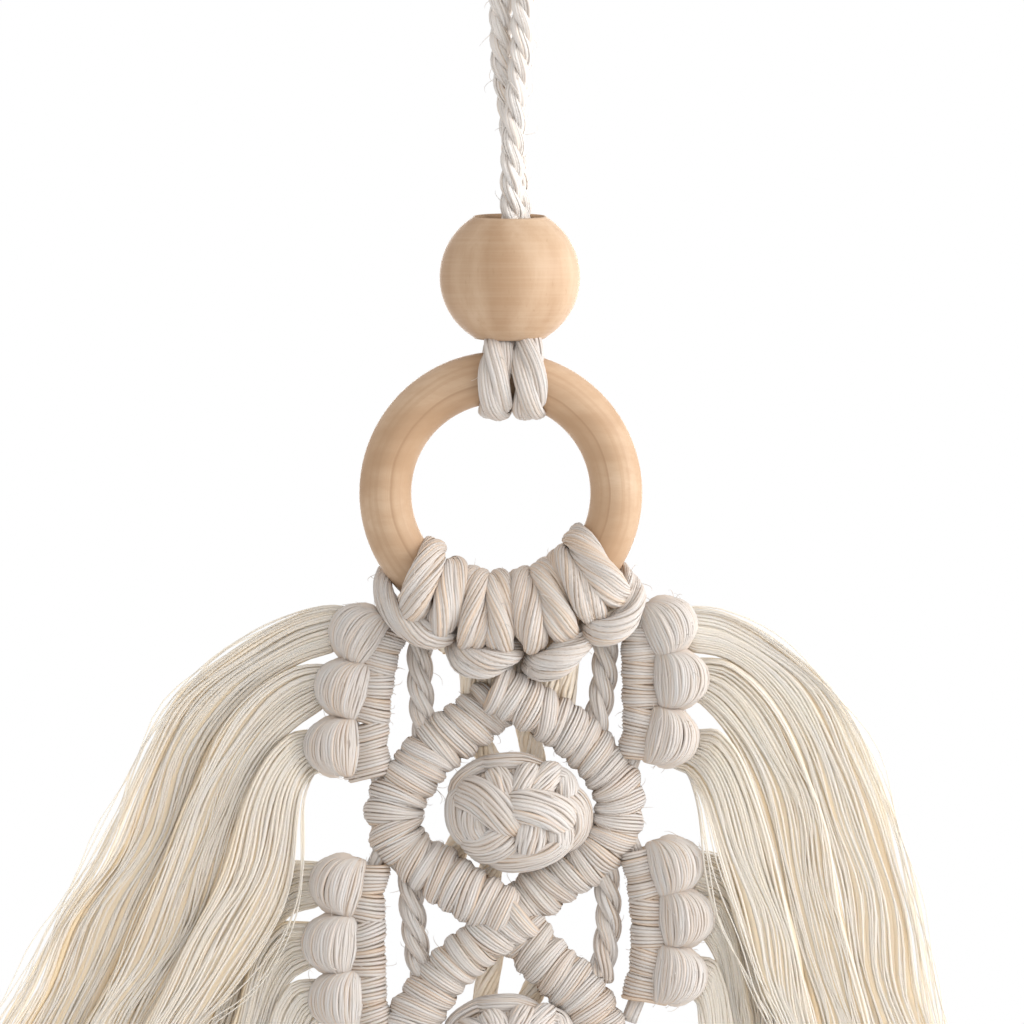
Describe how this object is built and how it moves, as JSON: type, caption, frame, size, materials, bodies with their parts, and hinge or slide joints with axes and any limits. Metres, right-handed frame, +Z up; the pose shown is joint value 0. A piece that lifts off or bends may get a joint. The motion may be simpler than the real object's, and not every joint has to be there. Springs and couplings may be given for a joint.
{
  "type": "macrame wall hanging with wooden ring and bead",
  "caption": "Knotted cotton hanging: a looped cord through a wooden bead and ring carries a panel of ridged diamonds and ball knots, with long combed fringe down both sides.",
  "frame": {"origin": "the top of the hanging loop, where a nail or hook carries it", "axes": "+Z up along the drop, front face towards -Y, +X to the right seen from the front"},
  "size_m": [0.1924, 0.0248, 0.3616],
  "materials": {
    "cotton": "soft matt twisted cotton cord, undyed",
    "combed_cotton": "combed-out cotton yarn, undyed, slightly see-through at its thin edges",
    "wood": "unvarnished turned pale beech, fine sanded"
  },
  "bodies": {
    "root": {"hanging_loop": "cotton", "ring_hitch": "cotton", "bead": "wood", "ring": "wood", "knotted_panel": "cotton", "fringe_left_1": "combed_cotton", "fringe_left_2": "combed_cotton", "fringe_left_3": "combed_cotton", "fringe_left_4": "combed_cotton", "fringe_left_5": "combed_cotton", "fringe_left_6": "combed_cotton", "fringe_right_1": "combed_cotton", "fringe_right_2": "combed_cotton", "fringe_right_3": "combed_cotton", "fringe_right_4": "combed_cotton", "fringe_right_5": "combed_cotton", "fringe_right_6": "combed_cotton", "bottom_tassel": "combed_cotton"}
  },
  "joints": []
}
